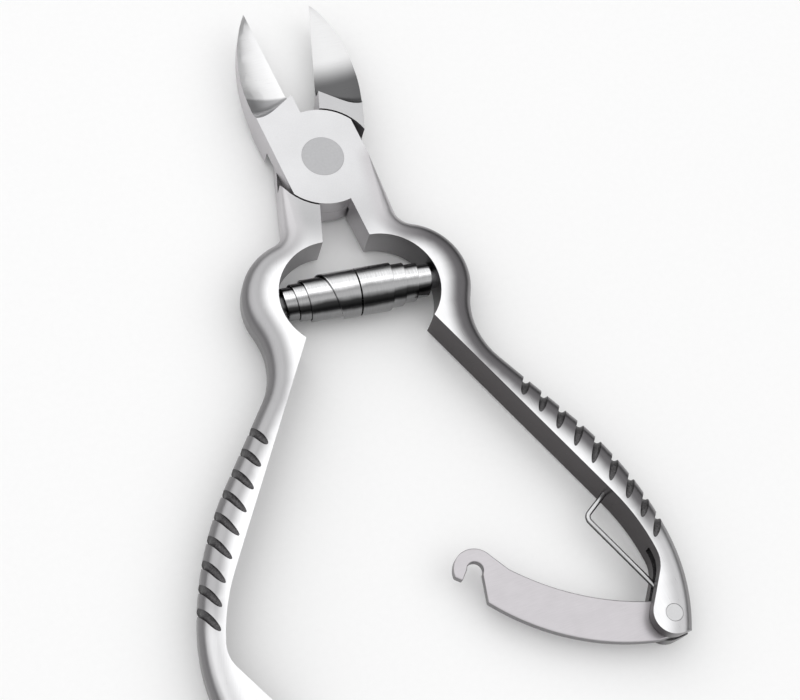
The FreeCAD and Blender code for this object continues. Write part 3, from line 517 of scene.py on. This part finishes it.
def latch_finish(finish):
    """Satin plate with lines along its length and painted shade on its sides."""
    steel = Steel("satin_latch")
    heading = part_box("lock_latch")[0] - middle("latch_pin")
    place = steel.turned_place(math.atan2(heading.y, heading.x))
    lines = steel.lines(place, LATCH_LINES, 4.0)
    cloud = steel.noise(steel.place(), 0.25)
    # Painted shade on faces turned to the side
    flat = steel.step(abs(steel.facing()[2]), *LATCH_TOP)
    steel.feed(
        Base_Color=steel.shade(steel.tint(flat, finish.side, finish.latch),
                               0.84 + lines * 0.18 + cloud * 0.12),
        Roughness=finish.satin + lines * 0.12,
    )
    steel.relief(lines, 0.005)
    return steel.material


def wire_finish(finish):
    """Drawn wire: lines along it, a painted highlight on its top and painted shade on its sides
    and underside.
    """
    steel = Steel("drawn_wire")
    lines = steel.lines(steel.split(steel.place()), DRAWN_LINES)
    # Painted highlight on the wire's top, painted shade below it
    painted_light = steel.step(steel.facing()[2], *WIRE_TOP)
    tone = steel.tint(painted_light, times(finish.spring, WIRE_SHADE), finish.spring)
    steel.feed(
        Base_Color=steel.shade(tone, 0.50 + lines * 0.30),
        Roughness=finish.polish + 0.04 + lines * 0.12,
    )
    steel.relief(lines, 0.004)
    return steel.material


# Mesh making

SHARP = math.radians(28.0)       # a larger angle between two faces is a sharp edge
FLAT = math.radians(0.4)         # faces within this angle become one
LEVEL = 0.9995                   # how far up or down a level face looks, 0 to 1
WELD = 1e-7                      # points nearer than this are one
CAD_WELD = 1e-6                  # the same for points of a CAD mesh
RIM_REACH = 3.2 * MM             # how far the painted shade of a shoulder reaches in
RIM_GRID = 1.5 * MM              # spacing of the points that carry it
BEVEL_STEPS = 2
TURNED_STEPS = 72
RIVET_STEPS = 96
STRIP_STEPS = 72
WIRE_STEPS = 20
BEND_STEPS = 14
TIP_STEPS = 5
TIP_FLAT = 0.04                  # smallest ring of a round end, as a share of its radius

# Chamfers and the latch's broken edge, as shares of the named sizes
RIVET_CHAMFER = 1 / 3
PIN_CHAMFER = 1 / 2
STUD_CHAMFER = 2
LATCH_EDGE = 1.6


def add_piece(name, mesh, materials):
    """An object for a mesh, with its materials."""
    for index, material in enumerate(materials):
        if index == len(mesh.materials):
            mesh.materials.append(None)
        mesh.materials[index] = material
    piece = bpy.data.objects.new(name, mesh)
    bpy.context.collection.objects.link(piece)
    return piece


def smooth_by_angle(work):
    """Smooth faces, with sharp edges where the surface turns a corner."""
    for face in work.faces:
        face.smooth = True
    for edge in work.edges:
        edge.smooth = len(edge.link_faces) == 2 and edge.calc_face_angle(0.0) < SHARP


def loft(name, *bars):
    """Mesh of closed bars, each a row of rings that all have the same number of points."""
    work = bmesh.new()
    for bar in bars:
        rows = [[work.verts.new(point) for point in ring] for ring in bar]
        for row, above in zip(rows, rows[1:]):
            for index in range(len(row)):
                following = (index + 1) % len(row)
                work.faces.new((row[index], row[following], above[following], above[index]))
        work.faces.new(rows[0][::-1])
        work.faces.new(rows[-1])
    bmesh.ops.remove_doubles(work, verts=work.verts, dist=WELD)
    bmesh.ops.recalc_face_normals(work, faces=work.faces)
    smooth_by_angle(work)
    mesh = bpy.data.meshes.new(name)
    work.to_mesh(mesh)
    work.free()
    return mesh


def circle(steps):
    """Cosine and sine of evenly spaced angles."""
    for index in range(steps):
        angle = 2 * math.pi * index / steps
        yield math.cos(angle), math.sin(angle)


def turned(name, centre, axis, profile, steps=TURNED_STEPS):
    """Turned piece: a profile of radius and height, swung about an axis."""
    turn = UP.rotation_difference(axis).to_matrix()
    return loft(name, [
        [centre + turn @ Vector((radius * along, radius * aside, height))
         for along, aside in circle(steps)]
        for radius, height in profile
    ])


def pin_profile(radius, low, high, chamfer):
    """Straight pin with a chamfer and a slightly dished face at each end."""
    dish = chamfer / 4
    return ((radius / 2, low + dish), (radius - chamfer, low), (radius, low + chamfer),
            (radius, high - chamfer), (radius - chamfer, high), (radius / 2, high - dish))


def regions(work):
    """Patches of faces between sharp edges; a level face belongs to no patch."""
    seen = set()
    for seed in work.faces:
        if seed in seen or abs(seed.normal.z) > LEVEL:
            continue
        patch = []
        waiting = [seed]
        seen.add(seed)
        while waiting:
            face = waiting.pop()
            patch.append(face)
            for edge in face.edges:
                if len(edge.link_faces) != 2 or edge.calc_face_angle(0.0) > SHARP:
                    continue
                for other in edge.link_faces:
                    if other not in seen and abs(other.normal.z) <= LEVEL:
                        seen.add(other)
                        waiting.append(other)
        yield patch


def hollow(patch):
    """How far a patch bends inwards, summed over its inner edges."""
    inside = set(patch)
    bend = 0.0
    for face in patch:
        for edge in face.edges:
            if len(edge.link_faces) == 2 and all(item in inside for item in edge.link_faces):
                bend -= edge.calc_face_angle_signed(0.0) * edge.calc_length()
    return bend


def reach(patch):
    """Lowest and highest corner of a patch."""
    points = [vert.co for face in patch for vert in face.verts]
    low = Vector(min(point[i] for point in points) for i in range(3))
    high = Vector(max(point[i] for point in points) for i in range(3))
    return low, high


# Material places of a lever; place 0 is its plain skin
GROUND, RECESS = 1, 2

JAW_START = 8.0 * MM             # the jaw lies ahead of this
GRIP_START = -40.0 * MM          # the grooves and holes of the grip lie behind this
GROOVE_REACH = 12.0 * MM         # patches of the grinding are larger, those of grooves smaller
LAP_DEPTH = 1.0 * MM             # the lap lies deeper than this in the joint


def sort_lever(work):
    """Give ground jaw faces, grooves, holes and the lap of a lever their own material places."""
    for face in work.faces:
        height = face.calc_center_median().z
        # The lap's floors take the recess material, which is painted shade
        if abs(face.normal.z) > LEVEL and LAP_DEPTH < height < THICKNESS - LAP_DEPTH:
            face.material_index = RECESS
    for patch in regions(work):
        if hollow(patch) <= 0:
            continue
        low, high = reach(patch)
        size = (high - low).length
        if low.y > JAW_START and size > GROOVE_REACH:
            place = GROUND
        elif high.y < GRIP_START and size < GROOVE_REACH:
            place = RECESS
        else:
            continue
        for face in patch:
            face.material_index = place


def is_level(face):
    """True for a level face of the plain skin."""
    return abs(face.normal.z) > LEVEL and face.material_index == 0


def mark_rim(work):
    """Store how far each point of a level face is from its rounded shoulder, 0 to 1, which sets
    the painted shade near the shoulder.
    """
    rim = work.verts.layers.float.new(RIM)
    low, high = reach(work.faces)
    for axis in range(2):
        heading = Vector((axis == 0, axis == 1, 0))
        for step in range(1, int((high[axis] - low[axis]) / RIM_GRID) + 1):
            faces = [face for face in work.faces if is_level(face)]
            edges = {edge for face in faces for edge in face.edges}
            verts = {vert for face in faces for vert in face.verts}
            bmesh.ops.bisect_plane(work, geom=[*faces, *edges, *verts], dist=WELD,
                                   plane_no=heading,
                                   plane_co=heading * (low[axis] + step * RIM_GRID))
    shoulder = [
        vert.co for edge in work.edges for vert in edge.verts
        if len(edge.link_faces) == 2 and edge.calc_face_angle(0.0) < SHARP
        and sorted(is_level(face) for face in edge.link_faces) == [False, True]
        and all(face.material_index == 0 for face in edge.link_faces)
    ]
    tree = KDTree(len(shoulder))
    for index, point in enumerate(shoulder):
        tree.insert(point, index)
    tree.balance()
    for vert in work.verts:
        level = any(is_level(face) for face in vert.link_faces)
        vert[rim] = min(tree.find(vert.co)[2] / RIM_REACH, 1.0) if level else 0.0


def skin(node, name, materials, edge, lever=False):
    """Finished copy of a CAD piece, with its sharp edges broken."""
    mesh = FRAME["nodes"][node].data.copy()
    mesh.name = name
    for layer in ("custom_normal", "sharp_face"):
        if layer in mesh.attributes:
            mesh.attributes.remove(mesh.attributes[layer])
    work = bmesh.new()
    work.from_mesh(mesh)
    bmesh.ops.remove_doubles(work, verts=work.verts, dist=CAD_WELD)
    for face in work.faces:
        face.material_index = 0
    if lever:
        sort_lever(work)
    bmesh.ops.dissolve_limit(work, angle_limit=FLAT, verts=work.verts, edges=work.edges,
                             delimit={"MATERIAL"})
    if lever:
        mark_rim(work)
    smooth_by_angle(work)
    work.to_mesh(mesh)
    work.free()
    piece = add_piece(name, mesh, materials)
    bevel = piece.modifiers.new("broken_edge", "BEVEL")
    bevel.width = edge
    bevel.segments = BEVEL_STEPS
    bevel.limit_method = "ANGLE"
    bevel.angle_limit = SHARP
    bevel.use_clamp_overlap = True
    level = piece.modifiers.new("level_faces", "WEIGHTED_NORMAL")
    level.keep_sharp = True
    return piece


def stand_for(piece, node, body):
    """The piece rides on a body and takes the place of its CAD node."""
    if body:
        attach(piece, body)
    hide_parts(node)


# Pieces


def make_levers(sizes, finish):
    recess_shade = recess_shade_finish(finish)
    for side, body, turn, look in (("front", FRONT, OPEN_HALF, FRONT_LOOK),
                                   ("rear", REAR, -OPEN_HALF, REAR_LOOK)):
        node = side + "_lever"
        materials = (lever_finish("satin_lever_" + side, turn, look, finish),
                     jaw_finish("ground_jaw_" + side, turn, look, finish), recess_shade)
        piece = skin(node, node + "_skin", materials, sizes.edge, lever=True)
        stand_for(piece, node, body)


def make_rivet(sizes, finish):
    low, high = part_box("pivot_rivet")
    ends = pin_profile((high.x - low.x) / 2, low.z, high.z,
                       sizes.chamfer * RIVET_CHAMFER)
    shank = ((sizes.rivet_shank, low.z + sizes.rivet_head),
             (sizes.rivet_shank, high.z - sizes.rivet_head))
    profile = (*ends[:3], *shank, *ends[3:])
    centre = middle("pivot_rivet")
    mesh = turned("pivot_rivet_turned", Vector((centre.x, centre.y, 0.0)), UP, profile,
                  RIVET_STEPS)
    material = turned_finish("turned_rivet", centre, UP, finish.rivet, finish.satin)
    piece = add_piece("pivot_rivet_turned", mesh, [material])
    stand_for(piece, "pivot_rivet", FRONT)


def make_pins(sizes, finish):
    for node, body in (("latch_pin", FRONT), ("catch_pin", REAR)):
        low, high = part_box(node)
        centre = middle(node)
        profile = pin_profile((high.x - low.x) / 2, low.z, high.z, sizes.chamfer * PIN_CHAMFER)
        mesh = turned(node + "_turned", Vector((centre.x, centre.y, 0.0)), UP, profile)
        tone = times(finish.bright, PIN_SHADE)
        material = turned_finish("turned_" + node, centre, UP, tone, finish.satin)
        stand_for(add_piece(node + "_turned", mesh, [material]), node, body)


def make_studs(sizes, finish):
    for side, body in (("front", FRONT), ("rear", REAR)):
        node = "spring_stud_" + side
        low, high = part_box(node)
        centre = middle(node)
        half = (high.x - low.x) / 2
        profile = pin_profile((high.z - low.z) / 2, -half, half, sizes.chamfer * STUD_CHAMFER)
        mesh = turned(node + "_turned", centre, SIDEWAYS, profile)
        tone = times(finish.rivet, STUD_SHADE)
        material = turned_finish("turned_" + node, centre, SIDEWAYS, tone, finish.satin)
        stand_for(add_piece(node + "_turned", mesh, [material]), node, body)


def strip_section(inner, outer, radius, sizes):
    """Corners of the strip's section: place along the axis and distance from it."""
    top, bottom = radius + sizes.strip_thickness / 2, radius - sizes.strip_thickness / 2
    nose = min(sizes.strip_round, (outer - inner) / 4)
    cut = nose * 0.3
    flat = nose * 1.6
    return (
        (inner + nose, top), (inner + flat, top), (outer - flat, top), (outer - nose, top),
        (outer - cut, top - cut), (outer, top - nose),
        (outer, bottom + nose), (outer - cut, bottom + cut),
        (outer - nose, bottom), (outer - flat, bottom), (inner + flat, bottom),
        (inner + nose, bottom), (inner + cut, bottom + cut), (inner, bottom + nose),
        (inner, top - nose), (inner + cut, top - cut),
    )


# Turns of each half that don't move outwards: the first one, which is flat at the seam, and half
# of the last, which is flat at the pocket wall
FLAT_TURNS = 1.5


def half_spring(side, width, slant, centre, reach_out, radius, sizes):
    """One half of the barrel spring: a flat strip wound in shrinking, telescoping turns."""
    lead = (reach_out - sizes.seam - width) / (sizes.turns - FLAT_TURNS)
    rings = []
    for index in range(sizes.turns * STRIP_STEPS + 1):
        turn = index / STRIP_STEPS
        start = sizes.seam + (turn - 1) * lead
        inner = max(sizes.seam, start)
        outer = min(start + width - slant * max(1 - turn, 0), reach_out)
        angle = 2 * math.pi * turn
        ring = []
        for shift, out in strip_section(inner, outer, radius - sizes.turn_step * turn, sizes):
            ring.append(centre + Vector((side * shift, -out * math.sin(angle),
                                         -out * math.cos(angle))))
        rings.append(ring)
    return rings


def make_spring(sizes, finish):
    low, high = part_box("barrel_spring")
    centre = middle("barrel_spring")
    radius = (high.z - low.z) / 2 - sizes.strip_thickness / 2
    halves = [
        half_spring(side, sizes.strip_width + extra, slant, centre, high.x, radius, sizes)
        for side, extra, slant in ((1, 0.0, 0.0), (-1, sizes.left_extra, sizes.left_slant))
    ]
    mesh = loft("barrel_spring_strip", *halves)
    piece = add_piece("barrel_spring_strip", mesh, [spring_finish(finish)])
    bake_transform(piece)
    stand_for(piece, "barrel_spring", None)


def make_latch(sizes, finish):
    piece = skin("lock_latch", "lock_latch_plate", [latch_finish(finish)],
                 sizes.edge * LATCH_EDGE)
    stand_for(piece, "lock_latch", LATCH)


# Ends and corner of the latch spring, where the front lever points straight ahead
WIRE_HOLE = Vector((21.6, -77.9, 0.0)) * MM
WIRE_KNEE = Vector((14.7, -81.4, 0.0)) * MM
WIRE_TIP = Vector((20.9, -99.2, 0.0)) * MM


def wire_line(sizes):
    """Line of the latch spring: straight, one bend, straight."""
    turn = Matrix.Rotation(OPEN_HALF, 3, "Z")
    hole, knee, tip = (turn @ point for point in (WIRE_HOLE, WIRE_KNEE, WIRE_TIP))
    back, ahead = (hole - knee).normalized(), (tip - knee).normalized()
    half = math.acos(back.dot(ahead)) / 2
    trim = sizes.wire_bend / math.tan(half)
    centre = knee + (back + ahead).normalized() * (sizes.wire_bend / math.sin(half))
    first = knee + back * trim - centre
    last = knee + ahead * trim - centre
    swing = first.angle(last)
    spin = first.cross(last).normalized()
    line = [hole]
    for index in range(BEND_STEPS + 1):
        line.append(centre + Matrix.Rotation(swing * index / BEND_STEPS, 3, spin) @ first)
    line.append(tip)
    return line


def round_end(point, heading, radius):
    """Places and radii of a rounded wire end."""
    for index in range(1, TIP_STEPS + 1):
        angle = math.pi / 2 * index / TIP_STEPS
        share = max(math.cos(angle), TIP_FLAT)
        yield point - heading * radius * (1 - math.sin(angle)), radius * share


def make_wire(sizes, finish):
    *line, tip = wire_line(sizes)
    tail = (tip - line[-1]).normalized()
    stops = [(point, sizes.wire) for point in (*line, tip - tail * sizes.wire)]
    stops.extend(round_end(tip, tail, sizes.wire))
    rings = []
    for index, (point, radius) in enumerate(stops):
        before = stops[max(index - 1, 0)][0]
        after = stops[min(index + 1, len(stops) - 1)][0]
        aside = (after - before).normalized().cross(UP)
        centre = point + UP * THICKNESS / 2
        rings.append([centre + (aside * out + UP * rise) * radius
                      for out, rise in circle(WIRE_STEPS)])
    piece = add_piece("latch_spring_wire", loft("latch_spring_wire", rings), [wire_finish(finish)])
    stand_for(piece, "latch_spring", FRONT)


# Studio

# Place and own axes of the camera
CAMERA_PLACE = Vector((-0.0907, -0.1676, 0.3372))
CAMERA_X = Vector((0.95000, -0.26024, 0.17257))
CAMERA_Y = Vector((0.17482, 0.90118, 0.39662))
CAMERA_Z = Vector((-0.25873, -0.34662, 0.90161))
SENSOR = 36.0
SIGHT = (0.01, 10.0)

FLOOR_HALF = 1.5
FLOOR_STEPS = 24
FLOOR_ROUGHNESS = 0.85

# Where the walls meet to the side and give way to the ceiling above, for directions of length 1
WALLS_MEET = (-0.6, 0.6)
CEILING_EDGE = (0.12, 0.64)

LIGHT_AIM = Vector((0.0, -0.04, 0.0))
KEY_PLACE, KEY_WIDTH = Vector((-0.35, 0.45, 0.85)), 1.3
FILL_PLACE, FILL_WIDTH = Vector((0.60, -0.25, 0.75)), 0.9


def make_camera(studio):
    data = bpy.data.cameras.new("studio_camera")
    data.lens = studio.lens
    data.sensor_width = SENSOR
    data.sensor_fit = "HORIZONTAL"
    data.clip_start, data.clip_end = SIGHT
    camera = bpy.data.objects.new("studio_camera", data)
    turn = Matrix((CAMERA_X, CAMERA_Y, CAMERA_Z)).transposed().to_4x4()
    camera.matrix_world = Matrix.Translation(CAMERA_PLACE) @ turn
    bpy.context.collection.objects.link(camera)
    bpy.context.scene.camera = camera


def make_floor(studio):
    """Plain paper sheet that the nipper lies on."""
    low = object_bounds()[0].z
    work = bmesh.new()
    bmesh.ops.create_grid(work, x_segments=FLOOR_STEPS, y_segments=FLOOR_STEPS, size=FLOOR_HALF)
    mesh = bpy.data.meshes.new("studio_floor")
    work.to_mesh(mesh)
    work.free()
    paper = Steel("paper_floor", metallic=0.0)
    fibre = paper.noise(paper.place(), 0.9)
    paper.feed(Base_Color=paper.shade((*studio.floor, 1.0), 0.985 + fibre * 0.03),
               Roughness=FLOOR_ROUGHNESS)
    floor = add_piece("studio_floor", mesh, [paper.material])
    floor.location.z = low
    floor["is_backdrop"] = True


def make_sky(studio):
    """White ceiling between a bright and a dim wall, which the steel reflects."""
    world = bpy.data.worlds.new("studio")
    sky = Nodes(world)
    x, _, z = sky.split(sky.node("ShaderNodeTexCoord", out="Generated"))
    wall = sky.step(x, *WALLS_MEET, studio.wall, studio.dim_wall)
    strength = sky.step(z, *CEILING_EDGE, wall, studio.sky)
    light = sky.node("ShaderNodeBackground",
                     sockets={"Color": (1.0, 1.0, 1.0, 1.0), "Strength": strength})
    sky.node("ShaderNodeOutputWorld", sockets={"Surface": light})
    bpy.context.scene.world = world


def make_lights(studio):
    for name, place, width, power in (
        ("key_light", KEY_PLACE, KEY_WIDTH, studio.key),
        ("fill_light", FILL_PLACE, FILL_WIDTH, studio.fill),
    ):
        data = bpy.data.lights.new(name, "AREA")
        data.size = width
        data.energy = power
        light = bpy.data.objects.new(name, data)
        light.location = place
        light.rotation_euler = (LIGHT_AIM - place).to_track_quat("-Z", "Y").to_euler()
        bpy.context.collection.objects.link(light)


# Add-on


class NIPPER_OT_studio(bpy.types.Operator):
    """Lay the paper floor, hang the lights and set the camera"""

    bl_idname = "nipper.studio"
    bl_label = "Studio"

    def execute(self, context):
        studio = context.scene.nipper_studio
        make_camera(studio)
        make_floor(studio)
        make_sky(studio)
        make_lights(studio)
        context.scene.view_settings.view_transform = "Standard"
        return {"FINISHED"}


class NIPPER_OT_levers(bpy.types.Operator):
    """Skin both forged levers and finish their grips, joint and ground jaws"""

    bl_idname = "nipper.levers"
    bl_label = "Levers"

    def execute(self, context):
        make_levers(context.scene.nipper_sizes, context.scene.nipper_finish)
        return {"FINISHED"}


class NIPPER_OT_rivet(bpy.types.Operator):
    """Turn the countersunk pivot rivet"""

    bl_idname = "nipper.rivet"
    bl_label = "Pivot rivet"

    def execute(self, context):
        make_rivet(context.scene.nipper_sizes, context.scene.nipper_finish)
        return {"FINISHED"}


class NIPPER_OT_spring(bpy.types.Operator):
    """Wind the double volute barrel spring"""

    bl_idname = "nipper.spring"
    bl_label = "Barrel spring"

    def execute(self, context):
        make_spring(context.scene.nipper_sizes, context.scene.nipper_finish)
        return {"FINISHED"}


class NIPPER_OT_studs(bpy.types.Operator):
    """Turn the two studs that centre the barrel spring"""

    bl_idname = "nipper.studs"
    bl_label = "Spring studs"

    def execute(self, context):
        make_studs(context.scene.nipper_sizes, context.scene.nipper_finish)
        return {"FINISHED"}


class NIPPER_OT_latch(bpy.types.Operator):
    """Skin the hooked latch plate"""

    bl_idname = "nipper.latch"
    bl_label = "Latch"

    def execute(self, context):
        make_latch(context.scene.nipper_sizes, context.scene.nipper_finish)
        return {"FINISHED"}


class NIPPER_OT_pins(bpy.types.Operator):
    """Turn the latch pin and the catch pin"""

    bl_idname = "nipper.pins"
    bl_label = "Pins"

    def execute(self, context):
        make_pins(context.scene.nipper_sizes, context.scene.nipper_finish)
        return {"FINISHED"}


class NIPPER_OT_wire(bpy.types.Operator):
    """Bend the wire that springs the latch"""

    bl_idname = "nipper.wire"
    bl_label = "Latch spring"

    def execute(self, context):
        make_wire(context.scene.nipper_sizes, context.scene.nipper_finish)
        return {"FINISHED"}


MAKERS = (NIPPER_OT_studio, NIPPER_OT_levers, NIPPER_OT_rivet, NIPPER_OT_spring,
          NIPPER_OT_studs, NIPPER_OT_latch, NIPPER_OT_pins, NIPPER_OT_wire)


class NIPPER_PT_sidebar(bpy.types.Panel):
    """Buttons and settings of the nipper"""

    bl_label = "Nail Nipper"
    bl_idname = "NIPPER_PT_sidebar"
    bl_space_type = "VIEW_3D"
    bl_region_type = "UI"
    bl_category = "Nipper"

    def draw(self, context):
        for maker in MAKERS:
            self.layout.operator(maker.bl_idname)
        scene = context.scene
        for group in (scene.nipper_sizes, scene.nipper_finish, scene.nipper_studio):
            box = self.layout.box()
            for name in group.__annotations__:
                box.prop(group, name)


GROUPS = {"nipper_sizes": NipperSizes, "nipper_finish": NipperFinish,
          "nipper_studio": NipperStudio}
CLASSES = (*GROUPS.values(), *MAKERS, NIPPER_PT_sidebar)


def register():
    for item in CLASSES:
        bpy.utils.register_class(item)
    for name, group in GROUPS.items():
        setattr(bpy.types.Scene, name, PointerProperty(type=group))


def unregister():
    for name in GROUPS:
        delattr(bpy.types.Scene, name)
    for item in reversed(CLASSES):
        bpy.utils.unregister_class(item)


def main():
    """Make the studio and every piece."""
    register()
    bpy.ops.nipper.studio()
    bpy.ops.nipper.levers()
    bpy.ops.nipper.rivet()
    bpy.ops.nipper.spring()
    bpy.ops.nipper.studs()
    bpy.ops.nipper.latch()
    bpy.ops.nipper.pins()
    bpy.ops.nipper.wire()
    boxes = {"cad": CAD_BOX, "visual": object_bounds()}
    {name: [list(corner) for corner in box] for name, box in boxes.items()}


if __name__ == "__main__":
    main()
